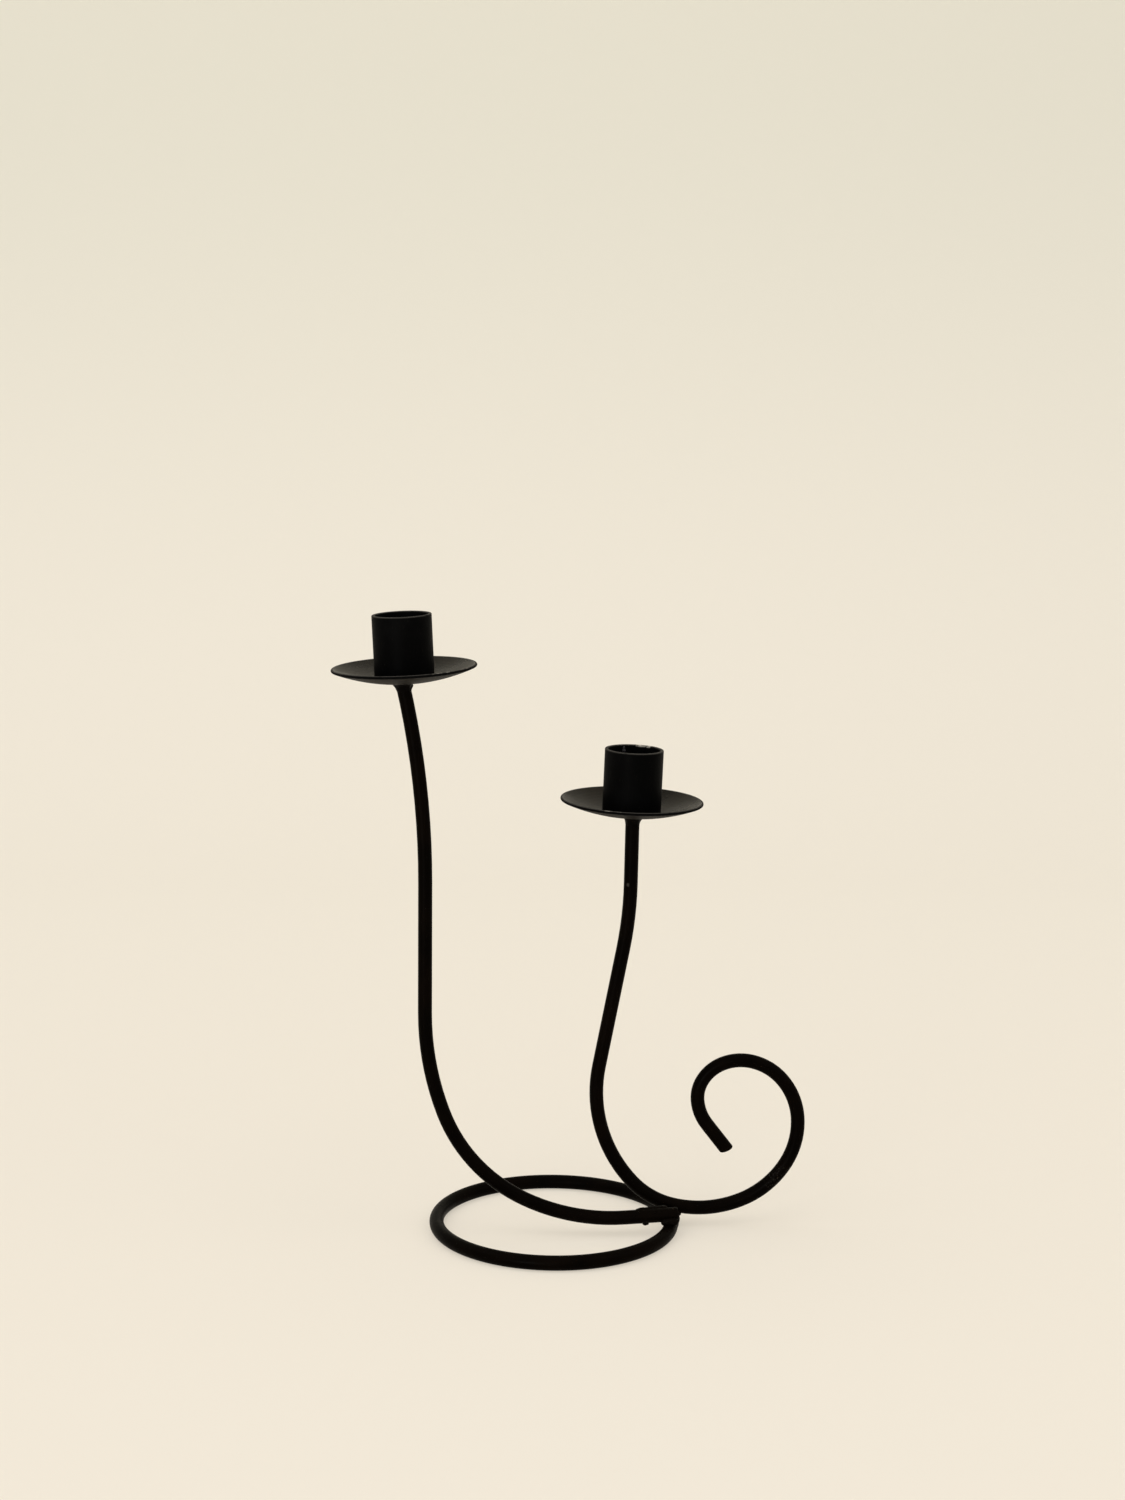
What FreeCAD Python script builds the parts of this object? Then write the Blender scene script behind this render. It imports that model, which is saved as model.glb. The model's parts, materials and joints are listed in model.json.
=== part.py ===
import FreeCAD, Part
import os
from math import asin, cos, degrees, radians, sin, sqrt, tan

# Candle holder for two candles, welded from round bar, sheet and tube.
# Lengths are in millimetres and angles in degrees. The origin is the centre of the base ring on the table:
# +X runs to the right along the arms, +Y to the back and +Z up. Seen from the front, a positive turn of a bar
# is counter-clockwise.

# Base ring, bent a little out of round: longest from the front right to the back left
ring_radius = 51.0
ring_hub_shift = 1.8
ring_bar_diameter = 6.2
ring_seam_length = 1.6
ring_seam_crown = 0.3

# Both arms
arm_bar_diameter = 6.0
arm_root_gap = 0.2
arm_end_round = 0.7

# Tall arm, from its sawn end on the ring to its pan
tall_arm_plane = -10.4
tall_arm_slope_angle = 3.9
tall_tail_run = 3.9
tall_foot_run = 19.2
tall_foot_radius = 85.3
tall_foot_angle = -29.9
tall_elbow_radius = 68.8
tall_elbow_angle = -43.8
tall_rise_radius = 124.0
tall_rise_angle = -20.8
tall_stem_run = 56.0
tall_top_radius = 379.0
tall_top_angle = 12.95

# Scroll arm, from where it rests on the ring up to its pan
scroll_arm_plane = 2.6
scroll_arm_slope_angle = -13.2
low_elbow_radius = 35.5
low_elbow_angle = -34.3
low_rise_radius = 59.5
low_rise_angle = -53.7
low_stem_run = 52.9
low_top_radius = 166.5
low_top_angle = 9.9
low_top_run = 29.4

# Scroll, from where the arm rests on the ring to its tip, which is sawn on the skew: arcs of equal turn,
# each tighter than the last
scroll_first_radius = 48.2
scroll_shrink_share = 0.847
scroll_arc_angle = 35.95
scroll_arc_count = 8
scroll_hook_radius = 20.2
scroll_hook_angle = 33.1
scroll_tip_run = 14.5
scroll_tip_skew_angle = -15.0

# Drip pans, dished to a part of a ball
pan_diameter = 60.9
pan_sheet = 1.2
pan_depth = 6.0
tall_pan_shift = 1.0
low_pan_shift = -0.6

# Lean of each pan and its cup
tall_pan_side_angle = -2.1
tall_pan_front_angle = 2.0
low_pan_side_angle = 2.4
low_pan_front_angle = 1.5

# Candle cups
cup_diameter = 25.0
cup_wall = 1.4
cup_height = 27.6
cup_rim_round = 0.4

# Weld beads beside each arm where it lies on the ring
ring_bead_diameter = 4.0
ring_bead_size_shares = (0.9, 1.0, 0.93)
ring_bead_spacing = 1.5
ring_bead_lift = 1.0
ring_bead_spread = 0.4

# Flared welds under the pans
tall_flare_reach = 5.4
tall_flare_drop = 4.0
low_flare_reach = 5.0
low_flare_drop = 3.1
flare_edge = 0.15
flare_waist_share = 0.3

# Bevel inside the foot of each cup, filled by its weld
cup_bevel = 1.0

# How far a cutting tool reaches past what it cuts
overrun = 5.0

# Sizes that follow
ring_bar_radius = ring_bar_diameter / 2
arm_bar_radius = arm_bar_diameter / 2
cup_radius = cup_diameter / 2
bore_radius = cup_radius - cup_wall
pan_edge_radius = (pan_diameter - pan_sheet) / 2
dish_radius = (pan_edge_radius ** 2 + pan_depth ** 2) / (2 * pan_depth)

right = FreeCAD.Vector(1, 0, 0)
back = FreeCAD.Vector(0, 1, 0)
up = FreeCAD.Vector(0, 0, 1)
middle = FreeCAD.Vector(0, 0, 0)


def heading_vector(heading):
    """Direction in an upright plane: 0 is to the right and 90 is up."""
    return FreeCAD.Vector(cos(radians(heading)), 0, sin(radians(heading)))


def line(start, end):
    return Part.LineSegment(start, end).toShape()


def arc(start, through, end):
    return Part.Arc(start, through, end).toShape()


def revolved(edges):
    """A solid of revolution about Z, from an outline in the plane of X and Z."""
    return Part.Face(Part.Wire(edges)).revolve(middle, up, 360)


class BentBar:
    """The centreline of a bar bent in an upright plane, made of straight runs and tangent arcs."""

    def __init__(self, start, heading):
        self.end = start
        self.heading = heading
        self.edges = []

    def direction(self):
        return heading_vector(self.heading)

    def run(self, length):
        start = self.end
        self.end = start + self.direction() * length
        self.edges.append(line(start, self.end))

    def bend(self, radius, turn):
        side = 1 if turn > 0 else -1
        start = self.end
        hub = start + self.direction().cross(back) * side * radius
        halfway = hub + FreeCAD.Rotation(back, -turn / 2).multVec(start - hub)
        self.end = hub + FreeCAD.Rotation(back, -turn).multVec(start - hub)
        self.heading = self.heading + turn
        self.edges.append(arc(start, halfway, self.end))


def ring_arc_at(plane):
    """Radius and hub of the ring's arc that an upright plane crosses on the right."""
    side = -1 if plane < -ring_hub_shift else 1
    return ring_radius + ring_hub_shift * side, (right * side + back) * -ring_hub_shift


def ring_under_arm(plane):
    """The middle of the ring's bar where an arm crosses it on the right."""
    radius, hub = ring_arc_at(plane)
    return FreeCAD.Vector(hub.x + sqrt(radius ** 2 - (plane - hub.y) ** 2), plane, ring_bar_radius)


def rest_on_ring(plane, slope):
    """The point of an arm's centreline that lies square over the ring's bar."""
    rise = ring_bar_radius + arm_root_gap + arm_bar_radius
    return ring_under_arm(plane) + heading_vector(slope + 90) * rise


def tall_arm_line():
    """Centreline of the tall arm, from its sawn end to its pan."""
    rest = rest_on_ring(tall_arm_plane, tall_arm_slope_angle)
    bar = BentBar(rest + heading_vector(tall_arm_slope_angle) * tall_tail_run, tall_arm_slope_angle + 180)
    bar.run(tall_tail_run + tall_foot_run)
    bar.bend(tall_foot_radius, tall_foot_angle)
    bar.bend(tall_elbow_radius, tall_elbow_angle)
    bar.bend(tall_rise_radius, tall_rise_angle)
    bar.run(tall_stem_run)
    bar.bend(tall_top_radius, tall_top_angle)
    return bar


def low_stem_line():
    """Centreline of the scroll arm from the ring up to its pan."""
    bar = BentBar(rest_on_ring(scroll_arm_plane, scroll_arm_slope_angle), scroll_arm_slope_angle + 180)
    bar.bend(low_elbow_radius, low_elbow_angle)
    bar.bend(low_rise_radius, low_rise_angle)
    bar.run(low_stem_run)
    bar.bend(low_top_radius, low_top_angle)
    bar.run(low_top_run)
    return bar


def scroll_line():
    """Centreline of the scroll arm from the ring to past the scroll's tip, where it is sawn off."""
    bar = BentBar(rest_on_ring(scroll_arm_plane, scroll_arm_slope_angle), scroll_arm_slope_angle)
    for step in range(scroll_arc_count):
        bar.bend(scroll_first_radius * scroll_shrink_share ** step, scroll_arc_angle)
    bar.bend(scroll_hook_radius, scroll_hook_angle)
    bar.run(scroll_tip_run + overrun)
    return bar


def bar_along(edges):
    """A round bar swept along the edges of a centreline."""
    path = Part.Wire(Part.sortEdges(edges)[0])
    start = path.OrderedVertexes[0].Point
    first = path.OrderedEdges[0]
    section = Part.Wire(Part.makeCircle(arm_bar_radius, start, first.tangentAt(first.getParameterByLength(0))))
    return path.makePipe(Part.Face(section))


def with_round_end(bar, end):
    """The bar with the sharp edge of one sawn end taken off."""
    rims = [edge for edge in bar.Edges if isinstance(edge.Curve, (Part.Circle, Part.Ellipse))]
    rim = min(rims, key=lambda edge: edge.Curve.Center.distanceToPoint(end))
    return bar.makeFillet(arm_end_round, [rim])


def skew_waste(end, heading):
    """What a saw held on the skew takes off a bar past its end."""
    width = arm_bar_diameter + overrun
    waste = Part.makeBox(width, width, width, (right + back) * -width / 2)
    return placed(waste, FreeCAD.Placement(end, FreeCAD.Rotation(up, heading_vector(heading))))


def beyond(bar_line):
    """A straight run past the end of a centreline, to be cut off."""
    return line(bar_line.end, bar_line.end + bar_line.direction() * overrun)


def make_tall_arm():
    """A bar whose sawn end is rounded off and whose top is cut to the underside of its pan."""
    bar = bar_along(tall_line.edges + [beyond(tall_line)])
    sawn_end = tall_line.edges[0].firstVertex().Point
    return with_round_end(bar, sawn_end).cut(dish_ball(tall_seat, dish_radius + pan_sheet))


def make_scroll_arm():
    """A bar with its tip sawn on the skew and rounded off, cut at its top to the underside of its pan."""
    tip = scroll.end - scroll.direction() * overrun
    bar = bar_along(low_line.edges + scroll.edges + [beyond(low_line)])
    sawn = bar.cut(skew_waste(tip, scroll.heading + scroll_tip_skew_angle))
    return with_round_end(sawn, tip).cut(dish_ball(low_seat, dish_radius + pan_sheet))


def leaning(lean_right, lean_front):
    """Upward direction of a pan that leans to the right and to the front."""
    lean = FreeCAD.Vector(tan(radians(lean_right)), -tan(radians(lean_front)), 1)
    return lean.normalize()


def pan_seat(arm_line, shift, lean):
    """Place and lean of a pan: the lowest point of its dish, with Z along the candle."""
    return FreeCAD.Placement(arm_line.end + right * shift + lean * pan_sheet, FreeCAD.Rotation(up, lean))


def placed(shape, placement):
    shape.Placement = placement
    return shape


def dish_ball(seat, radius):
    """A ball about the hub of the dish's curve, with its poles to the front and the back."""
    return Part.makeSphere(radius, seat.multVec(up * dish_radius), back)


def on_ball(radius, angle):
    """Point of a pan's section on a ball about the dish's hub, at an angle from the lowest point."""
    return right * radius * sin(angle) + up * (dish_radius - radius * cos(angle))


def make_pan(seat):
    """A dished disc of sheet with a rounded edge."""
    under_radius = dish_radius + pan_sheet
    edge_angle = asin(pan_edge_radius / (dish_radius + pan_sheet / 2))
    edge_normal = right * cos(edge_angle) + up * sin(edge_angle)
    dish_edge = on_ball(dish_radius, edge_angle)
    under_edge = on_ball(under_radius, edge_angle)
    outermost = (dish_edge + under_edge) / 2 + edge_normal * pan_sheet / 2
    dish = arc(middle, on_ball(dish_radius, edge_angle / 2), dish_edge)
    rim = arc(dish_edge, outermost, under_edge)
    underside = arc(under_edge, on_ball(under_radius, edge_angle / 2), up * -pan_sheet)
    return placed(revolved([dish, rim, underside, line(up * -pan_sheet, middle)]), seat)


def make_cup(seat):
    """A short tube with a rounded rim, cut at its foot to the dish and bevelled there for its weld."""
    soften = cup_rim_round * (1 - sqrt(1 / 2))
    inner_foot = right * bore_radius
    outer_foot = right * cup_radius
    outer_top = outer_foot + up * (cup_height - cup_rim_round)
    outer_bend = outer_foot - right * soften + up * (cup_height - soften)
    outer_rim = outer_foot - right * cup_rim_round + up * cup_height
    inner_rim = inner_foot + right * cup_rim_round + up * cup_height
    inner_bend = inner_foot + right * soften + up * (cup_height - soften)
    inner_top = inner_foot + up * (cup_height - cup_rim_round)
    outline = [
        line(inner_foot, outer_foot),
        line(outer_foot, outer_top),
        arc(outer_top, outer_bend, outer_rim),
        line(outer_rim, inner_rim),
        arc(inner_rim, inner_bend, inner_top),
        line(inner_top, inner_foot),
    ]
    return placed(revolved(outline), seat).common(dish_ball(seat, dish_radius)).cut(make_cup_weld(seat))


def make_cup_weld(seat):
    """The weld that fills the bevel between the cup's bore and the dish."""
    toe = on_ball(dish_radius, asin((bore_radius + cup_bevel) / dish_radius))
    root = on_ball(dish_radius, asin(bore_radius / dish_radius))
    crest = root + up * cup_bevel
    toe_foot = right * toe.x
    root_foot = right * root.x
    outline = [line(root_foot, toe_foot), line(toe_foot, toe), line(toe, crest), line(crest, root_foot)]
    return placed(revolved(outline), seat).common(dish_ball(seat, dish_radius))


def make_flare(arm_line, seat, arm, reach, drop):
    """The flared weld between an arm's top and the underside of its pan."""
    along = arm_line.direction()
    lean = seat.Rotation.multVec(up)
    under_radius = dish_radius + pan_sheet
    edge_rise = under_radius - sqrt(under_radius ** 2 - reach ** 2)
    waist_radius = arm_bar_radius + (reach - arm_bar_radius) * flare_waist_share
    foot = Part.makeCircle(arm_bar_radius + flare_edge, arm_line.end - along * drop, along)
    waist = Part.makeCircle(waist_radius, arm_line.end - (along + lean) * drop / 4, along + lean)
    crown = Part.makeCircle(reach, arm_line.end + lean * edge_rise, lean)
    flare = Part.makeLoft([Part.Wire(circle) for circle in (foot, waist, crown)], True)
    return flare.cut(dish_ball(seat, under_radius)).cut(arm)


def make_ring_weld(plane, slope, arm, ring):
    """Overlapping beads along both sides of an arm where it lies on the ring."""
    along = heading_vector(slope)
    normal = heading_vector(slope + 90)
    root = ring_under_arm(plane) + normal * (ring_bar_radius + arm_root_gap / 2)
    first = -ring_bead_spacing * (len(ring_bead_size_shares) - 1) / 2
    beads = []
    for side in (-1, 1):
        for step, share in enumerate(ring_bead_size_shares):
            flank = back * side * (arm_bar_radius + ring_bead_spread)
            place = root + flank + along * (first + step * ring_bead_spacing) + normal * ring_bead_lift
            beads.append(Part.makeSphere(ring_bead_diameter / 2 * share, place, back))
    return beads[0].fuse(beads[1:]).cut(arm).cut(ring)


def seam_place():
    """The seam of the ring lies midway between the two arms; its frame stands in the middle of the bar."""
    plane = (tall_arm_plane + scroll_arm_plane) / 2
    radius, hub = ring_arc_at(plane)
    return FreeCAD.Placement(ring_under_arm(plane), FreeCAD.Rotation(up, degrees(asin((plane - hub.y) / radius))))


def ring_quarter(start, hub, radius):
    """A quarter of the ring's bar, from a heading in the plane of the table, with Z through its hub."""
    middle_of_bar = hub + up * ring_bar_radius + FreeCAD.Rotation(up, start).multVec(right) * radius
    section = Part.makeCircle(ring_bar_radius, middle_of_bar, FreeCAD.Rotation(up, start).multVec(back))
    return Part.Face(Part.Wire(section)).revolve(hub, up, 90)


def make_ring():
    """The base ring of four quarters, open by the length of its seam."""
    flat_radius = ring_radius + ring_hub_shift
    tight_radius = ring_radius - ring_hub_shift
    shift_back = (right + back) * ring_hub_shift
    shift_front = (right - back) * ring_hub_shift
    quarters = [
        ring_quarter(0, -shift_back, flat_radius),
        ring_quarter(90, -shift_front, tight_radius),
        ring_quarter(180, shift_back, flat_radius),
        ring_quarter(270, shift_front, tight_radius),
    ]
    width = ring_bar_diameter + overrun
    corner = (right + up) * -width / 2 - back * ring_seam_length / 2
    gap = placed(Part.makeBox(width, ring_seam_length, width, corner), seam_place())
    return quarters[0].fuse(quarters[1:]).cut(gap)


def make_seam_weld():
    """The crowned butt weld between the ends of the ring's bar, dressed flush where the ring stands."""
    half = up * ring_seam_length / 2
    edge = right * ring_bar_radius
    crown = arc(edge - half, edge + right * ring_seam_crown, edge + half)
    outline = [line(half * -1, edge - half), crown, line(edge + half, half), line(half, half * -1)]
    barrel = revolved(outline).rotated(middle, right, 90)
    width = ring_bar_diameter + overrun
    above_table = Part.makeBox(width, width, width, (right + back) * -width / 2 - up * ring_bar_radius)
    return placed(barrel.common(above_table), seam_place())


tall_line = tall_arm_line()
low_line = low_stem_line()
scroll = scroll_line()
tall_seat = pan_seat(tall_line, tall_pan_shift, leaning(tall_pan_side_angle, tall_pan_front_angle))
low_seat = pan_seat(low_line, low_pan_shift, leaning(low_pan_side_angle, low_pan_front_angle))

base_ring = make_ring()
tall_arm = make_tall_arm()
scroll_arm = make_scroll_arm()

nodes = {
    "base_ring": base_ring,
    "ring_seam_weld": make_seam_weld(),
    "tall_arm": tall_arm,
    "scroll_arm": scroll_arm,
    "tall_arm_ring_weld": make_ring_weld(tall_arm_plane, tall_arm_slope_angle, tall_arm, base_ring),
    "scroll_arm_ring_weld": make_ring_weld(scroll_arm_plane, scroll_arm_slope_angle, scroll_arm, base_ring),
    "tall_drip_pan": make_pan(tall_seat),
    "low_drip_pan": make_pan(low_seat),
    "tall_pan_weld": make_flare(tall_line, tall_seat, tall_arm, tall_flare_reach, tall_flare_drop),
    "low_pan_weld": make_flare(low_line, low_seat, scroll_arm, low_flare_reach, low_flare_drop),
    "tall_candle_cup": make_cup(tall_seat),
    "low_candle_cup": make_cup(low_seat),
    "tall_cup_weld": make_cup_weld(tall_seat),
    "low_cup_weld": make_cup_weld(low_seat),
}

os.makedirs("parts", exist_ok=True)
for name, shape in nodes.items():
    shape.exportStep("parts/" + name + ".step")
    print(name, "solids", len(shape.Solids), "faces", len(shape.Faces), "valid", shape.isValid(),
          "volume", round(shape.Volume, 2))
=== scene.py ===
import json
from math import cos, pi, radians, sin, sqrt

import bmesh
import bpy
from mathutils import Matrix, Vector, noise


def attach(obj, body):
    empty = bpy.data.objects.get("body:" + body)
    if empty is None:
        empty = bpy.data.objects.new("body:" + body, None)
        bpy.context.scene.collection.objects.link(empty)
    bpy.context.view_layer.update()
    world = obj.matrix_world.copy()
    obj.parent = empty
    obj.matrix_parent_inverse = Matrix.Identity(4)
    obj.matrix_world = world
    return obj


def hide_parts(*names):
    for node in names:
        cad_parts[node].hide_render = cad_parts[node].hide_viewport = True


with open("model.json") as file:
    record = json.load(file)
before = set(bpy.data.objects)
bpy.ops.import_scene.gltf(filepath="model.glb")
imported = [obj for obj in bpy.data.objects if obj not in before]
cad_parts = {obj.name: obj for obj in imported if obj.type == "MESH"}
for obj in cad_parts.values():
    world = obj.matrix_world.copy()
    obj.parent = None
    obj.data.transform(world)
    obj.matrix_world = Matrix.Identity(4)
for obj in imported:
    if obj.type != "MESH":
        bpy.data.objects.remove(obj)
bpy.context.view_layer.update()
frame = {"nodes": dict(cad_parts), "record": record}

# Candle holder of black painted steel: a ring, two bent arms, two pans with cups, and the welds between them.
# Lengths are in metres, in the frame of the solids: X to the right, Y to the back, Z up from the table.

mm = 0.001

# Sizes of the solids that the pieces here sit on
ring_radius = 51.0 * mm
ring_hub_shift = 1.8 * mm
ring_bar_radius = 3.1 * mm
arm_bar_radius = 3.0 * mm
arm_root_gap = 0.2 * mm
tall_arm_plane = -10.4 * mm
scroll_arm_plane = 2.6 * mm
pan_sheet = 1.2 * mm
pan_edge_radius = 29.85 * mm
pan_depth = 6.0 * mm
dish_radius = (pan_edge_radius ** 2 + pan_depth ** 2) / (2 * pan_depth)
tall_pan_shift = 1.0 * mm
low_pan_shift = -0.6 * mm
bore_radius = 11.1 * mm
cup_wall_top = 27.2 * mm
cup_height = 27.6 * mm

# Headings of the arms in degrees, on the ring and under their pans
tall_arm_slope = 3.9
scroll_arm_slope = -13.2
tall_top_heading = 102.35
low_top_heading = 88.7

right = Vector((1, 0, 0))
back = Vector((0, 1, 0))
up = Vector((0, 0, 1))


def heading_vector(heading):
    """Direction in an upright plane along X: 0 is to the right and 90 is up."""
    return Vector((cos(radians(heading)), 0, sin(radians(heading))))


class PanSeat:
    """Where a pan and its cup stand: the lowest point of the dish and the candle's direction."""

    def __init__(self, socket_name, shift):
        socket = next(mount for mount in frame["record"]["mounts"] if mount["name"] == socket_name)
        self.axis = Vector(socket["axis"]).normalized()
        self.lowest = Vector(socket["pos_m"]) - self.axis * cup_wall_top
        self.hub = self.lowest + self.axis * dish_radius
        self.arm_top = self.lowest - right * shift - self.axis * pan_sheet

    def underside(self, point):
        """The point of the pan's underside that lies along the axis from a point."""
        offset = point - self.hub
        along = offset.dot(self.axis)
        across = offset - self.axis * along
        under = dish_radius + pan_sheet
        return self.hub + across - self.axis * sqrt(under ** 2 - across.length_squared)

    def on_cup(self, angle, radius, height):
        """A point about the cup's axis, at an angle from the right towards the back."""
        across = right * radius * cos(radians(angle))
        return self.lowest + across + back * radius * sin(radians(angle)) + self.axis * height


tall_seat = PanSeat("tall_candle_socket", tall_pan_shift)
low_seat = PanSeat("low_candle_socket", low_pan_shift)


def ring_under_arm(plane):
    """The middle of the ring's bar where an arm crosses it on the right."""
    side = -1 if plane < -ring_hub_shift else 1
    arc = ring_radius + ring_hub_shift * side
    reach = sqrt(arc ** 2 - (plane + ring_hub_shift) ** 2) - ring_hub_shift * side
    return Vector((reach, plane, ring_bar_radius))


# Shader building

class Net:
    """Adds nodes to a material, a world or a group, and links them."""

    def __init__(self, tree):
        self.tree = tree

    def add(self, kind, inputs=(), **settings):
        made = self.tree.nodes.new(kind)
        for name, value in settings.items():
            setattr(made, name, value)
        for name, value in dict(inputs).items():
            self.feed(made.inputs[name], value)
        return made

    def feed(self, socket, value):
        if isinstance(value, bpy.types.NodeSocket):
            self.tree.links.new(value, socket)
        else:
            socket.default_value = value

    def place(self):
        """Where a point of the surface lies."""
        return self.add("ShaderNodeTexCoord").outputs["Object"]

    def math(self, operation, first, second=0.0, clamp=False):
        made = self.add("ShaderNodeMath", {0: first, 1: second}, operation=operation, use_clamp=clamp)
        return made.outputs[0]

    def plus(self, first, second):
        return self.math("ADD", first, second)

    def times(self, first, second):
        return self.math("MULTIPLY", first, second)

    def vector(self, operation, first, second):
        return self.add("ShaderNodeVectorMath", {0: first, 1: second}, operation=operation).outputs["Vector"]

    def measure(self, operation, first, second):
        """A number from two vectors."""
        return self.add("ShaderNodeVectorMath", {0: first, 1: second}, operation=operation).outputs["Value"]

    def between(self, value, start, full):
        """0 before start, 1 after full, and smooth between."""
        inputs = {"Value": value, "From Min": start, "From Max": full}
        return self.add("ShaderNodeMapRange", inputs, interpolation_type="SMOOTHSTEP").outputs["Result"]

    def noise(self, place, scale, detail=2.0, roughness=0.5):
        inputs = {"Vector": place, "Scale": scale, "Detail": detail, "Roughness": roughness}
        return self.add("ShaderNodeTexNoise", inputs).outputs["Fac"]

    def colours(self, share, first, second):
        """A mix of two colours. The node has sockets of several kinds under one name, so they go by place."""
        made = self.add("ShaderNodeMix", {0: share, 6: first, 7: second}, data_type="RGBA")
        return made.outputs[2]


def new_group(name, inputs, outputs):
    """An empty shader group with named sockets, and its input and output nodes."""
    tree = bpy.data.node_groups.new(name, "ShaderNodeTree")
    for socket, kind in inputs.items():
        tree.interface.new_socket(socket, in_out="INPUT", socket_type=kind)
    for socket, kind in outputs.items():
        tree.interface.new_socket(socket, in_out="OUTPUT", socket_type=kind)
    net = Net(tree)
    return net, net.add("NodeGroupInput").outputs, net.add("NodeGroupOutput").inputs


number = "NodeSocketFloat"
arrow = "NodeSocketVector"


def make_paint_film():
    """Sprayed paint: a fine grain over slow waves, clouds of tone, and dust caught in it."""
    dust_scale, cloud_scale = 1900.0, 60.0
    grain_share, waves_share, dust_share = 0.3, 0.7, 0.35
    net, given, result = new_group("paint_film", {"Grain": number, "Waves": number},
                                   {"Height": number, "Cloud": number, "Dust": number})
    place = net.place()
    grain = net.noise(place, given["Grain"], detail=3.0, roughness=0.6)
    waves = net.noise(place, given["Waves"])
    dust = net.between(net.noise(place, dust_scale, detail=1.0), 0.74, 0.80)
    clouds = net.noise(place, cloud_scale, detail=4.0, roughness=0.55)
    height = net.plus(net.times(grain, grain_share), net.times(waves, waves_share))
    net.feed(result["Height"], net.plus(height, net.times(dust, dust_share)))
    net.feed(result["Cloud"], net.between(clouds, 0.35, 0.68))
    net.feed(result["Dust"], dust)
    return net.tree


def make_round_place():
    """Where a point of a turned piece lies: along its axis, out from it, and around it."""
    net, given, result = new_group("round_place", {"Seat": arrow, "Axis": arrow},
                                   {"Along": number, "Out": number, "Around": number})
    offset = net.vector("SUBTRACT", net.place(), given["Seat"])
    along = net.measure("DOT_PRODUCT", offset, given["Axis"])
    on_axis = net.add("ShaderNodeVectorMath", {0: given["Axis"], "Scale": along}, operation="SCALE")
    across = net.vector("SUBTRACT", offset, on_axis.outputs["Vector"])
    out = net.add("ShaderNodeVectorMath", {0: across}, operation="LENGTH")
    apart = net.add("ShaderNodeSeparateXYZ", {0: across}).outputs
    net.feed(result["Along"], along)
    net.feed(result["Out"], out.outputs["Value"])
    net.feed(result["Around"], net.math("ARCTAN2", apart["Y"], apart["X"]))
    return net.tree


def make_broken_edge_line():
    """A mask in a broken line towards an edge, for paint rubbed thin and for painted highlight lines. The
    higher Bare is, the less paint is left.
    """
    patch_scale, thin_level, bare_level = 420.0, 0.75, 0.95
    inputs = {"Distance": number, "Start": number, "Full": number, "Bare": number}
    net, given, result = new_group("broken_edge_line", inputs, {"Mask": number})
    edge = net.between(given["Distance"], given["Start"], given["Full"])
    patches = net.noise(net.place(), patch_scale, detail=4.0, roughness=0.65)
    thin = net.math("SUBTRACT", thin_level, given["Bare"])
    bare = net.math("SUBTRACT", bare_level, given["Bare"])
    net.feed(result["Mask"], net.math("MULTIPLY", edge, net.between(patches, thin, bare), clamp=True))
    return net.tree


def make_paint_nick():
    """A small place where the paint is knocked or scuffed, with a ragged edge."""
    ragged_scale, ragged_floor = 1500.0, 0.45
    net, given, result = new_group("paint_nick", {"Place": arrow, "Size": number}, {"Mask": number})
    place = net.place()
    reach = net.measure("DISTANCE", place, given["Place"])
    ragged = net.plus(ragged_floor, net.noise(place, ragged_scale, detail=3.0, roughness=0.7))
    share = net.math("DIVIDE", net.times(reach, ragged), given["Size"])
    net.feed(result["Mask"], net.math("SUBTRACT", 1.0, net.between(share, 0.55, 1.0)))
    return net.tree


paint_film = make_paint_film()
round_place = make_round_place()
broken_edge_line = make_broken_edge_line()
paint_nick = make_paint_nick()


# Paints

black = [0.0010, 0.0010, 0.0010, 1.0]
bar_brown_black = [0.0011, 0.0006, 0.0003, 1.0]
pan_brown_black = [0.0062, 0.0049, 0.0033, 1.0]
# Paler grey of the paint run: a painted highlight on it
run_highlight_grey = [0.016, 0.015, 0.016, 1.0]
# Rubbed paint, also the colour of painted highlight lines along edges
rubbed_and_highlight = [0.060, 0.055, 0.048, 1.0]
chipped = [0.50, 0.46, 0.39, 1.0]

cloud_lightening = 2.2
cloud_roughening = 0.10
dust_strength = 0.25
nick_depth = 0.5
speck_scale = 1700.0
stretch_fade = 0.05


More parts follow.
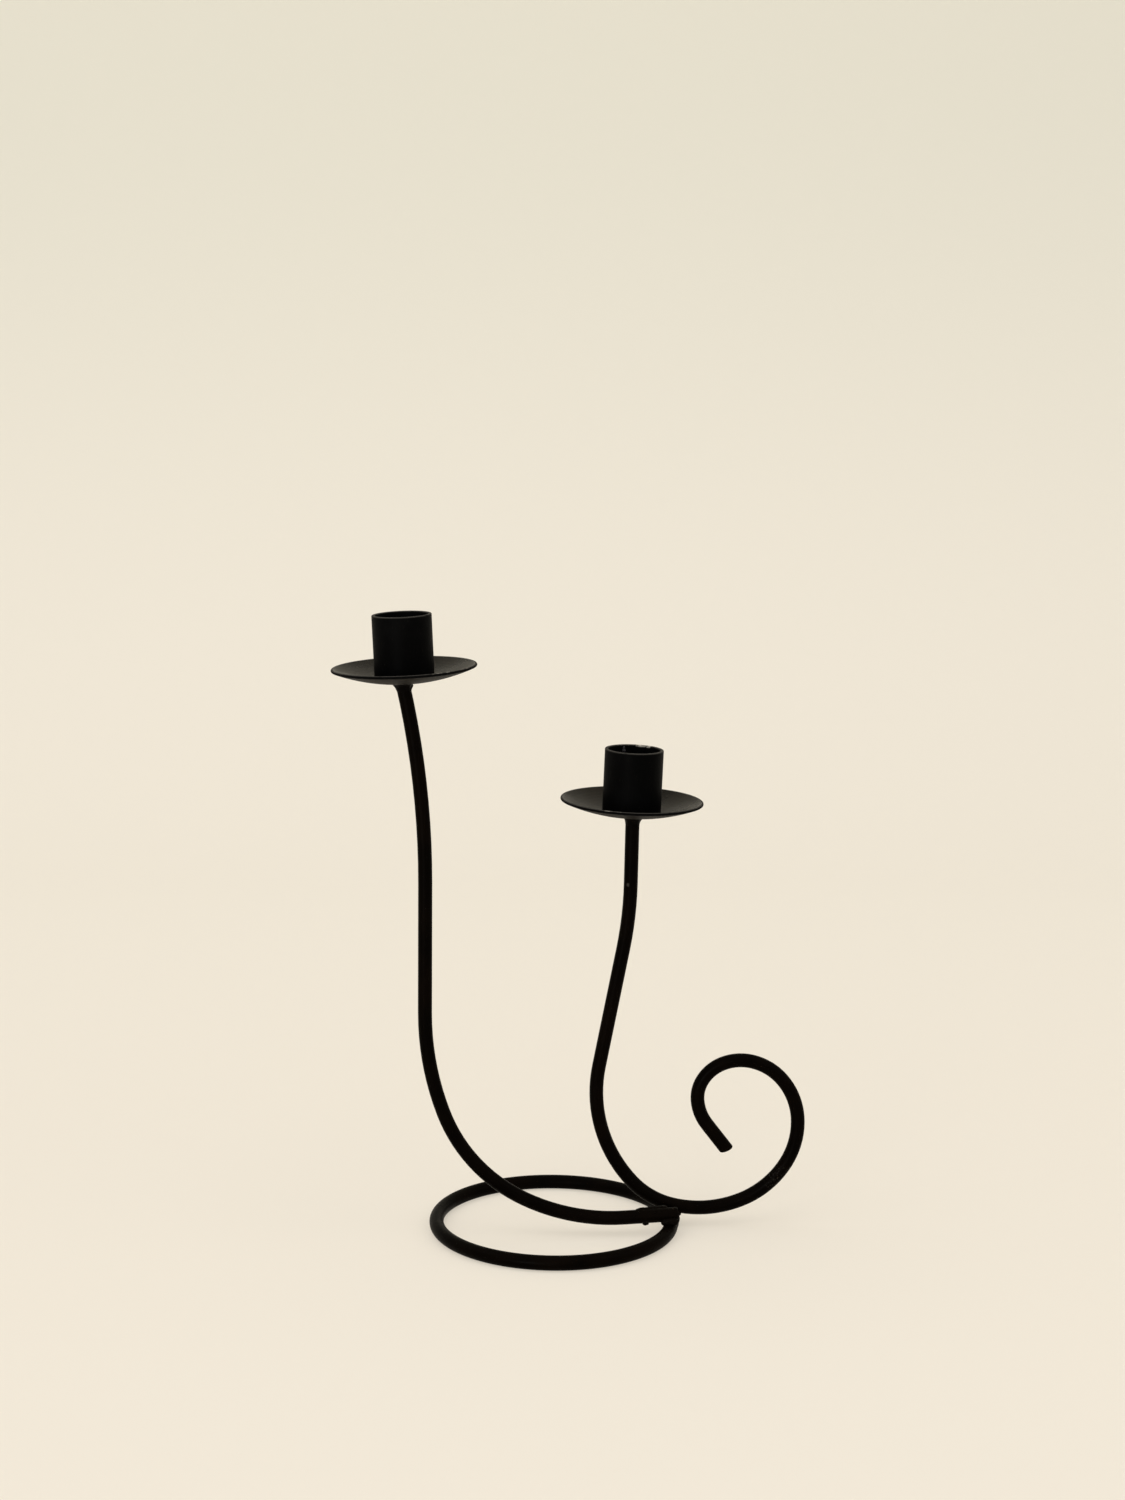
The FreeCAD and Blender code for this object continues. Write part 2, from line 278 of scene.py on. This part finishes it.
class Paint:
    """A black paint: a material with its film, to which marks are added: wear, and painted highlight lines
    along edges.
    """

    def __init__(self, name, colour, roughness, grain, waves, relief):
        self.material = bpy.data.materials.new(name)
        self.material.use_nodes = True
        self.net = Net(self.material.node_tree)
        self.net.tree.nodes.clear()
        film = self.group(paint_film, {"Grain": grain, "Waves": waves})
        paler = [channel * cloud_lightening for channel in colour[:3]] + [1.0]
        clouds = self.net.times(film["Cloud"], cloud_roughening)
        self.colour = self.net.colours(film["Cloud"], colour, paler)
        self.rough = self.net.plus(roughness - cloud_roughening / 2, clouds)
        self.height = film["Height"]
        self.relief = relief
        self.mark_colour = rubbed_and_highlight
        self.wear(film["Dust"], dust_strength)

    def group(self, tree, inputs):
        made = self.net.add("ShaderNodeGroup", node_tree=tree)
        for name, value in inputs.items():
            self.net.feed(made.inputs[name], value)
        return made.outputs

    def wear(self, mask, strength):
        """Mixes the paint towards its mark colour where the mask says, for wear and for painted highlight
        lines.
        """
        self.colour = self.net.colours(self.net.times(mask, strength), self.colour, self.mark_colour)

    def nick(self, place, size, strength):
        """Knocks the paint off a small place."""
        mask = self.group(paint_nick, {"Place": place, "Size": size})["Mask"]
        self.wear(mask, strength)
        self.height = self.net.math("SUBTRACT", self.height, self.net.times(mask, nick_depth))

    def specks(self, place, size, strength):
        """Strews light specks around a place."""
        near = self.group(paint_nick, {"Place": place, "Size": size})["Mask"]
        fine = self.net.noise(self.net.place(), speck_scale, detail=1.0)
        self.wear(self.net.times(near, self.net.between(fine, 0.61, 0.68)), strength)

    def stretch(self, spot, start, end):
        """1 between two angles around a turned piece, and 0 elsewhere."""
        begun = self.net.between(spot["Around"], start - stretch_fade, start + stretch_fade)
        not_over = self.net.between(spot["Around"], end + stretch_fade, end - stretch_fade)
        return self.net.times(begun, not_over)

    def raise_by(self, height, amount):
        self.height = self.net.plus(self.height, self.net.times(height, amount))

    def done(self, specular):
        """Finishes the material."""
        relief = {"Height": self.height, "Strength": 1.0, "Distance": self.relief}
        bump = self.net.add("ShaderNodeBump", relief).outputs["Normal"]
        inputs = {"Base Color": self.colour, "Roughness": self.rough, "Normal": bump,
                  "Specular IOR Level": specular}
        shader = self.net.add("ShaderNodeBsdfPrincipled", inputs)
        self.net.add("ShaderNodeOutputMaterial", {"Surface": shader.outputs["BSDF"]})
        return self.material


def make_bar_paint():
    """Paint of the bars: one nick in the lower stem, and specks low on the scroll."""
    stem_nick = Vector((0.0316, -0.0004, 0.1520))
    scroll_specks = Vector((0.0984, 0.0010, 0.0213))
    paint = Paint("bar_black_paint", bar_brown_black, roughness=0.36, grain=2400.0, waves=170.0,
                  relief=0.16 * mm)
    paint.nick(stem_nick, size=1.0 * mm, strength=0.5)
    paint.specks(scroll_specks, size=7.5 * mm, strength=0.35)
    return paint.done(specular=0.013)


def make_weld_paint():
    """Paint over weld metal: the black of the bars, with closer waves and more gloss."""
    paint = Paint("weld_black_paint", bar_brown_black, roughness=0.32, grain=1500.0, waves=620.0,
                  relief=0.35 * mm)
    return paint.done(specular=0.022)


def make_pan_paint(name, seat, worn_from, worn_to, specular):
    """Paint of a dished pan: turning marks, a cut edge in black as painted shade, with a pale line on top
    that is partly rubbed paint and partly a painted highlight, and a stretch of it worn more.

    The underside is more matt than the dish, and the cut edge more so.
    """
    underside_matt, edge_matt = 0.25, 0.50
    turning_scale, turning_height = 2600.0, 0.05
    paint = Paint(name, pan_brown_black, roughness=0.30, grain=2000.0, waves=120.0, relief=0.10 * mm)
    net = paint.net
    spot = paint.group(round_place, {"Seat": seat.lowest, "Axis": seat.axis})
    normal = net.add("ShaderNodeTexCoord").outputs["Normal"]
    downward = net.between(net.measure("DOT_PRODUCT", normal, seat.axis), 0.1, -0.1)
    # The cut edge's black is painted shade: a dark band along the pan's edge. The edge is also made more
    # matt.
    cut_edge = net.between(spot["Out"], pan_edge_radius - 0.25 * mm, pan_edge_radius - 0.15 * mm)
    paint.colour = net.colours(cut_edge, paint.colour, black)
    matt = net.math("MAXIMUM", net.times(downward, underside_matt), net.times(cut_edge, edge_matt))
    paint.rough = net.plus(paint.rough, matt)
    paint.raise_by(net.math("SINE", net.times(spot["Out"], turning_scale)), turning_height)
    # A pale broken line along the top of the cut edge: partly rubbed paint, partly a painted highlight.
    top_edge = {"Distance": spot["Along"], "Start": 5.70 * mm, "Full": 5.86 * mm}
    paint.wear(paint.group(broken_edge_line, {**top_edge, "Bare": 0.48})["Mask"], 0.75)
    scuffed = paint.group(broken_edge_line, {**top_edge, "Bare": 0.28})["Mask"]
    paint.mark_colour = chipped
    paint.wear(net.times(scuffed, paint.stretch(spot, worn_from, worn_to)), 0.5)
    return paint.done(specular)


def make_cup_paint(name, seat, worn_from, worn_to, bare):
    """Paint of a candle cup: a pale line round the rim that is partly rubbed paint and partly a painted
    highlight, and a stretch of it that is chipped.
    """
    paint = Paint(name, black, roughness=0.50, grain=2200.0, waves=150.0, relief=0.12 * mm)
    net = paint.net
    spot = paint.group(round_place, {"Seat": seat.lowest, "Axis": seat.axis})
    # A pale broken line round the rim: partly rubbed paint, partly a painted highlight.
    rim = {"Distance": spot["Along"], "Start": cup_height - 0.55 * mm, "Full": cup_height - 0.1 * mm}
    paint.wear(paint.group(broken_edge_line, {**rim, "Bare": 0.50})["Mask"], 0.65)
    below_rim = {"Distance": spot["Along"], "Start": cup_height - 1.0 * mm, "Full": cup_height - 0.4 * mm}
    chips = paint.group(broken_edge_line, {**below_rim, "Bare": bare})["Mask"]
    paint.mark_colour = chipped
    paint.wear(net.times(chips, paint.stretch(spot, worn_from, worn_to)), 1.0)
    return paint.done(specular=0.016)


def make_cup_run_paint():
    """Thick paint of a run, glossier than the rest, and paler grey as a painted highlight on it."""
    paint = Paint("cup_run_black_paint", run_highlight_grey, roughness=0.26, grain=1500.0, waves=400.0,
                  relief=0.10 * mm)
    return paint.done(specular=0.10)


bar_paint = make_bar_paint()
weld_paint = make_weld_paint()
tall_pan_paint = make_pan_paint("tall_pan_black_paint", tall_seat, radians(-70), radians(-25), specular=0.036)
low_pan_paint = make_pan_paint("low_pan_black_paint", low_seat, radians(-119), radians(-100), specular=0.028)
tall_cup_paint = make_cup_paint("tall_cup_black_paint", tall_seat, radians(10), radians(40), bare=0.20)
cup_run_paint = make_cup_run_paint()
low_cup_paint = make_cup_paint("low_cup_black_paint", low_seat, radians(50), radians(84), bare=0.36)

node_paints = {
    "base_ring": bar_paint,
    "ring_seam_weld": weld_paint,
    "tall_arm": bar_paint,
    "scroll_arm": bar_paint,
    "tall_arm_ring_weld": weld_paint,
    "scroll_arm_ring_weld": weld_paint,
    "tall_drip_pan": tall_pan_paint,
    "low_drip_pan": low_pan_paint,
    "tall_pan_weld": weld_paint,
    "low_pan_weld": weld_paint,
    "tall_candle_cup": tall_cup_paint,
    "low_candle_cup": low_cup_paint,
    "tall_cup_weld": weld_paint,
    "low_cup_weld": weld_paint,
}
for node, paint in node_paints.items():
    solid = frame["nodes"][node]
    solid.data.materials.clear()
    solid.data.materials.append(paint)


# Weld metal, and a run of paint

def show(name, mesh, material):
    """A piece of the object from a mesh, in place, with its paint."""
    mesh.materials.clear()
    mesh.materials.append(material)
    for polygon in mesh.polygons:
        polygon.use_smooth = True
    piece = bpy.data.objects.new(name, mesh)
    bpy.context.scene.collection.objects.link(piece)
    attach(piece, "root")
    return piece


def lumpy_mesh(name, lumps, voxel, relief):
    """A skin over lumps that have run together, each a middle and its radii, with ripples in it."""
    coarse_ripple, fine_ripple, fine_share = 900, 2100, 0.5
    built = bmesh.new()
    for middle, radii in lumps:
        place = Matrix.Translation(middle) @ Matrix.Diagonal((*radii, 1))
        bmesh.ops.create_icosphere(built, subdivisions=3, radius=1.0, matrix=place)
    rough = bpy.data.meshes.new(name + "_lumps")
    built.to_mesh(rough)
    built.free()
    holder = bpy.data.objects.new(name + "_lumps", rough)
    bpy.context.scene.collection.objects.link(holder)
    remesh = holder.modifiers.new("run_together", "REMESH")
    remesh.mode = "VOXEL"
    remesh.voxel_size = voxel
    soften = holder.modifiers.new("soften", "SMOOTH")
    soften.factor = 0.5
    soften.iterations = 5
    shaped = holder.evaluated_get(bpy.context.evaluated_depsgraph_get())
    mesh = bpy.data.meshes.new_from_object(shaped)
    mesh.name = name
    bpy.data.objects.remove(holder)
    bpy.data.meshes.remove(rough)
    for vertex in mesh.vertices:
        ripple = noise.noise(vertex.co * coarse_ripple) + fine_share * noise.noise(vertex.co * fine_ripple)
        vertex.co += vertex.normal * ripple * relief
    return mesh


def show_lumps(name, lumps, voxel, relief, material):
    return show(name, lumpy_mesh(name, lumps, voxel, relief), material)


def ring_weld_lumps(plane, slope, sizes):
    """Lumps along both flanks of an arm where it lies on the ring."""
    pitch, rise = 1.25, 0.9
    shape = Vector((1.15, 1.0, 0.95))
    flank = arm_bar_radius + 0.35 * mm
    along = heading_vector(slope)
    normal = heading_vector(slope + 90)
    root = ring_under_arm(plane) + normal * (ring_bar_radius + arm_root_gap / 2)
    lumps = []
    for side, side_sizes in ((-1, sizes), (1, sizes[::-1])):
        for step, size in enumerate(side_sizes):
            run = (step - (len(side_sizes) - 1) / 2) * pitch * mm
            middle = root + back * side * flank + along * run + normal * rise * mm
            lumps.append((middle, shape * size))
    return lumps


def tall_arm_side(run, angle, out):
    """A point beside the tall arm: run along it from over the ring, and at an angle back from its top."""
    normal = heading_vector(tall_arm_slope + 90)
    over_ring = ring_under_arm(tall_arm_plane) + normal * (ring_bar_radius + arm_root_gap + arm_bar_radius)
    middle = over_ring + heading_vector(tall_arm_slope) * run
    return middle + (normal * cos(radians(angle)) + back * sin(radians(angle))) * out


weld_voxel = 0.28 * mm
weld_relief = 0.16 * mm


def make_tall_arm_weld():
    """Weld on the ring, a run along the top and back of the arm inside the ring, and the welded sawn end."""
    lumps = ring_weld_lumps(tall_arm_plane, tall_arm_slope, [1.75 * mm, 2.05 * mm, 1.95 * mm, 1.8 * mm])
    run_beads = ((-13.2, 0.9), (-12.2, 1.15), (-11.0, 1.3), (-9.6, 1.25), (-8.2, 1.4), (-6.8, 1.35),
                 (-5.4, 1.5), (-3.8, 1.55), (-2.2, 1.6))
    for run, size in run_beads:
        middle = tall_arm_side(run * mm, 38, arm_bar_radius - 0.1 * mm)
        lumps.append((middle, Vector((1.25, 1.0, 0.85)) * size * mm))
    sawn_end = tall_arm_side(3.3 * mm, 180, 2.2 * mm)
    lumps.append((sawn_end, Vector((1.2, 2.0, 1.9)) * mm))
    piece = show_lumps("tall_arm_weld_metal", lumps, weld_voxel, weld_relief, weld_paint)
    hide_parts("tall_arm_ring_weld")


def make_scroll_arm_weld():
    """Weld on the ring, and weld that fills the gap between the arms on top of the ring."""
    lumps = ring_weld_lumps(scroll_arm_plane, scroll_arm_slope, [1.8 * mm, 2.0 * mm, 2.0 * mm, 1.75 * mm])
    for plane, rise, size in ((-1.6, 1.6, 1.9), (-3.4, 1.0, 2.1), (-5.2, 0.8, 2.0), (-6.6, 0.4, 1.7)):
        middle = ring_under_arm(plane * mm) + up * (ring_bar_radius + rise * mm)
        lumps.append((middle, Vector((1.25, 1.0, 0.95)) * size * mm))
    piece = show_lumps("scroll_arm_weld_metal", lumps, weld_voxel, weld_relief, weld_paint)
    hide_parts("scroll_arm_ring_weld")


def make_weld_drip():
    """A drop of weld that hangs under the tall arm, inside the ring."""
    drop = tall_arm_side(-10.6 * mm, 192, arm_bar_radius + 0.1 * mm)
    lumps = [(drop, Vector((1.15, 1.0, 0.9)) * mm),
             (drop + right * 0.9 * mm, Vector((0.8, 0.8, 0.7)) * mm)]
    show_lumps("tall_arm_weld_drip", lumps, 0.18 * mm, 0.06 * mm, weld_paint)


def make_flare(name, node, seat, heading, reach, drop, widen, knob_angle, knob_height):
    """The flared weld between an arm and the underside of its pan, uneven round the bar.

    It goes down the arm by drop and out along the pan by reach, which widen makes uneven, left against right.
    """
    steps, rings = 64, 14
    edge_wander, foot_wander = 0.45 * mm, 0.22
    bar_bite, pan_bite = 0.05 * mm, 0.12
    throat_out, throat_drop = 0.35 * mm, 0.5
    coarse_bulge, fine_bulge = 0.22 * mm, 0.10 * mm
    along = heading_vector(heading)
    side = back.cross(along)
    built = bmesh.new()
    rows = []
    for ring in range(rings + 1):
        t = ring / rings
        row = []
        for step in range(steps):
            turn = 2 * pi * step / steps
            out = side * cos(turn) + back * sin(turn)
            edge_lump = noise.noise(Vector((cos(turn), sin(turn), seat.lowest.z * 50)) * 1.7)
            foot_lump = noise.noise(Vector((cos(turn), sin(turn), seat.lowest.x * 90)) * 1.3)
            edge_reach = reach + widen * cos(turn - pi) + edge_wander * edge_lump
            foot_drop = drop * (1 + foot_wander * foot_lump)
            foot = seat.arm_top - along * foot_drop + out * (arm_bar_radius - bar_bite)
            throat = seat.underside(seat.arm_top + out * (arm_bar_radius + throat_out))
            throat = throat - along * throat_drop * mm
            edge = seat.underside(seat.arm_top + out * edge_reach) + seat.axis * pan_bite * mm
            point = foot * (1 - t) ** 2 + throat * 2 * t * (1 - t) + edge * t ** 2
            bulge = coarse_bulge * noise.noise(point * 700) + fine_bulge * noise.noise(point * 1700)
            near_knob = max(0.0, cos(turn - radians(knob_angle))) ** 12 * sin(pi * min(1.0, t * 1.25)) ** 2
            row.append(built.verts.new(point + out * (bulge * sin(pi * t) + knob_height * near_knob)))
        rows.append(row)
    for lower, upper in zip(rows, rows[1:]):
        for step in range(steps):
            after = (step + 1) % steps
            built.faces.new((lower[step], lower[after], upper[after], upper[step]))
    built.faces.new(rows[0][::-1])
    built.faces.new(rows[-1])
    bmesh.ops.recalc_face_normals(built, faces=built.faces)
    mesh = bpy.data.meshes.new(name)
    built.to_mesh(mesh)
    built.free()
    piece = show(name, mesh, weld_paint)
    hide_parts(node)


def ring_surface(azimuth, angle):
    """A point on the ring's bar: azimuth from the right towards the back, angle up from its outer side."""
    turn = radians(azimuth)
    quarter = int((azimuth % 360) // 90)
    hub = [(-1, -1), (-1, 1), (1, 1), (1, -1)][quarter]
    arc = ring_radius + (ring_hub_shift if quarter % 2 == 0 else -ring_hub_shift)
    outward = Vector((cos(turn), sin(turn), 0))
    middle = Vector((*hub, 0)) * ring_hub_shift + outward * arc + up * ring_bar_radius
    return middle + (outward * cos(radians(angle)) + up * sin(radians(angle))) * ring_bar_radius


def make_spatter():
    """Small balls of weld spatter that stuck to the bars near the welds."""
    on_ring = ((-22, 60, 0.5), (-19, 118, 0.4), (-28, 84, 0.35), (9, 70, 0.45), (13, 120, 0.4),
               (17, 48, 0.32), (-6, 40, 0.5))
    on_arm = ((-13.0, -35, 0.45), (-15.2, -60, 0.35), (-11.6, 20, 0.4), (-6.0, -48, 0.4))
    balls = [(ring_surface(azimuth, angle), size) for azimuth, angle, size in on_ring]
    balls += [(tall_arm_side(run * mm, angle, arm_bar_radius), size) for run, angle, size in on_arm]
    lumps = [(middle, Vector((1, 1, 1)) * size * mm) for middle, size in balls]
    show_lumps("weld_spatter", lumps, 0.12 * mm, 0.02 * mm, weld_paint)


def make_cup_run():
    """A run of paint on the inner wall of the lower cup, at the back."""
    middle = low_seat.on_cup(112, bore_radius - 0.1 * mm, cup_height - 2.2 * mm)
    lumps = [(middle, Vector((1.0, 0.8, 0.8)) * mm),
             (middle + low_seat.axis * 1.0 * mm, Vector((0.6, 0.5, 1.2)) * mm)]
    show_lumps("low_cup_paint_run", lumps, 0.15 * mm, 0.04 * mm, cup_run_paint)


make_tall_arm_weld()
make_scroll_arm_weld()
make_weld_drip()
make_flare("tall_pan_weld_flare", "tall_pan_weld", tall_seat, tall_top_heading, reach=5.4 * mm, drop=4.0 * mm,
           widen=0.5 * mm, knob_angle=15, knob_height=0.7 * mm)
make_flare("low_pan_weld_flare", "low_pan_weld", low_seat, low_top_heading, reach=5.9 * mm, drop=4.2 * mm,
           widen=-0.5 * mm, knob_angle=200, knob_height=0.0)
make_spatter()
make_cup_run()


# Studio: a pale floor that curves up behind the object

# Paper colours graded by place stand in for how the light falls: painted light on the far floor, painted
# shade up the wall
floor_cream = [0.900, 0.826, 0.706, 1.0]
far_floor_cream = [0.916, 0.845, 0.722, 1.0]
shaded_wall_cream = [0.828, 0.785, 0.660, 1.0]
air_white = [0.98, 0.99, 1.0, 1.0]
lamp_white = (1.0, 0.985, 0.96)


def make_sweep():
    """The paper: flat in front, then a quarter of a circle, then upright."""
    front, curve_start, curve_radius, wall_top, half_width = -12.0, 0.75, 0.9, 3.0, 12.0
    curve_steps = 24
    built = bmesh.new()
    profile = [(front, 0.0), (curve_start, 0.0)]
    for step in range(1, curve_steps + 1):
        turn = pi / 2 * step / curve_steps
        profile.append((curve_start + curve_radius * sin(turn), curve_radius * (1 - cos(turn))))
    profile.append((curve_start + curve_radius, wall_top))
    rows = [[built.verts.new((x, y, z)) for x in (-half_width, half_width)] for y, z in profile]
    for near, far in zip(rows, rows[1:]):
        built.faces.new((near[0], near[1], far[1], far[0]))
    mesh = bpy.data.meshes.new("studio_sweep")
    built.to_mesh(mesh)
    built.free()
    for polygon in mesh.polygons:
        polygon.use_smooth = True
    mesh.materials.append(make_sweep_paper())
    sweep = bpy.data.objects.new("studio_sweep", mesh)
    bpy.context.scene.collection.objects.link(sweep)


def seen_rays(net):
    """1 for the rays that show the backdrop: straight to the camera, or in a gloss or through glass."""
    path = net.add("ShaderNodeLightPath").outputs
    bent = net.math("MAXIMUM", path["Is Glossy Ray"], path["Is Transmission Ray"])
    return net.math("MAXIMUM", path["Is Camera Ray"], bent)


def make_sweep_paper():
    """Cream paper that keeps soft shadows and is not seen from below, with painted light and shade in its
    colour: paler further back on the floor, and darker up the wall.

    To the sides and the front, far from the object, it is as bright as the air.
    """
    near_glow, added_glow = 0.55, 0.45
    material = bpy.data.materials.new("studio_paper")
    material.use_nodes = True
    net = Net(material.node_tree)
    net.tree.nodes.clear()
    apart = net.add("ShaderNodeSeparateXYZ", {0: net.place()}).outputs
    # Painted light and shade: the paper grows paler further back on the floor and darker up the wall.
    floor = net.colours(net.between(apart["Y"], 0.05, 0.7), floor_cream, far_floor_cream)
    colour = net.colours(net.between(apart["Z"], 0.0, 0.75), floor, shaded_wall_cream)
    aside = net.math("MAXIMUM", net.math("ABSOLUTE", apart["X"]), net.times(apart["Y"], -1.0))
    glow_share = net.plus(near_glow, net.times(net.between(aside, 0.9, 1.6), added_glow))
    seen = net.times(seen_rays(net), glow_share)
    glow = net.add("ShaderNodeEmission", {"Color": colour, "Strength": 1.0}).outputs["Emission"]
    paper = net.add("ShaderNodeBsdfDiffuse", {"Color": colour}).outputs["BSDF"]
    lit = net.add("ShaderNodeMixShader", {0: seen, 1: paper, 2: glow}).outputs["Shader"]
    clear = net.add("ShaderNodeBsdfTransparent").outputs["BSDF"]
    below = net.add("ShaderNodeNewGeometry").outputs["Backfacing"]
    both = net.add("ShaderNodeMixShader", {0: below, 1: lit, 2: clear}).outputs["Shader"]
    net.add("ShaderNodeOutputMaterial", {"Surface": both})
    return material


def make_world():
    """Soft light from all round. Where it is seen, it has the colour of the floor."""
    world = bpy.data.worlds.new("studio_air")
    world.use_nodes = True
    net = Net(world.node_tree)
    net.tree.nodes.clear()
    air = net.add("ShaderNodeBackground", {"Color": air_white, "Strength": 0.60}).outputs["Background"]
    seen = net.add("ShaderNodeBackground", {"Color": floor_cream, "Strength": 1.0}).outputs["Background"]
    both = net.add("ShaderNodeMixShader", {0: seen_rays(net), 1: air, 2: seen}).outputs["Shader"]
    net.add("ShaderNodeOutputWorld", {"Surface": both})
    bpy.context.scene.world = world


def make_lamp(name, place, target, width, height, power):
    lamp = bpy.data.lights.new(name, "AREA")
    lamp.shape = "RECTANGLE"
    lamp.size = width
    lamp.size_y = height
    lamp.energy = power
    lamp.color = lamp_white
    holder = bpy.data.objects.new(name, lamp)
    holder.location = place
    holder.rotation_euler = (Vector(target) - Vector(place)).to_track_quat("-Z", "Y").to_euler()
    holder.visible_camera = False
    bpy.context.scene.collection.objects.link(holder)


def make_camera():
    """The camera at the photograph's place, a little above the object and tilted down."""
    tilt_down = 8.1
    camera = bpy.data.cameras.new("photo_camera")
    camera.sensor_width = 36.0
    camera.lens = 54.07
    camera.clip_start = 0.01
    camera.clip_end = 50.0
    holder = bpy.data.objects.new("photo_camera", camera)
    holder.location = (0.0039, -0.94283, 0.3442)
    holder.rotation_euler = (radians(90 - tilt_down), 0, 0)
    bpy.context.scene.collection.objects.link(holder)
    bpy.context.scene.camera = holder


make_sweep()
make_world()
make_lamp("key_softbox", (-0.55, -0.35, 1.70), (0.0, 0.0, 0.08), width=2.3, height=2.3, power=13.0)
make_lamp("fill_softbox", (1.1, -0.5, 1.1), (0.0, 0.0, 0.1), width=1.1, height=1.1, power=3.5)
make_lamp("front_softbox", (-0.85, -2.0, 0.32), (0.0, 0.0, 0.15), width=0.5, height=0.6, power=13.0)
make_camera()

bpy.context.scene.view_settings.view_transform = "Standard"
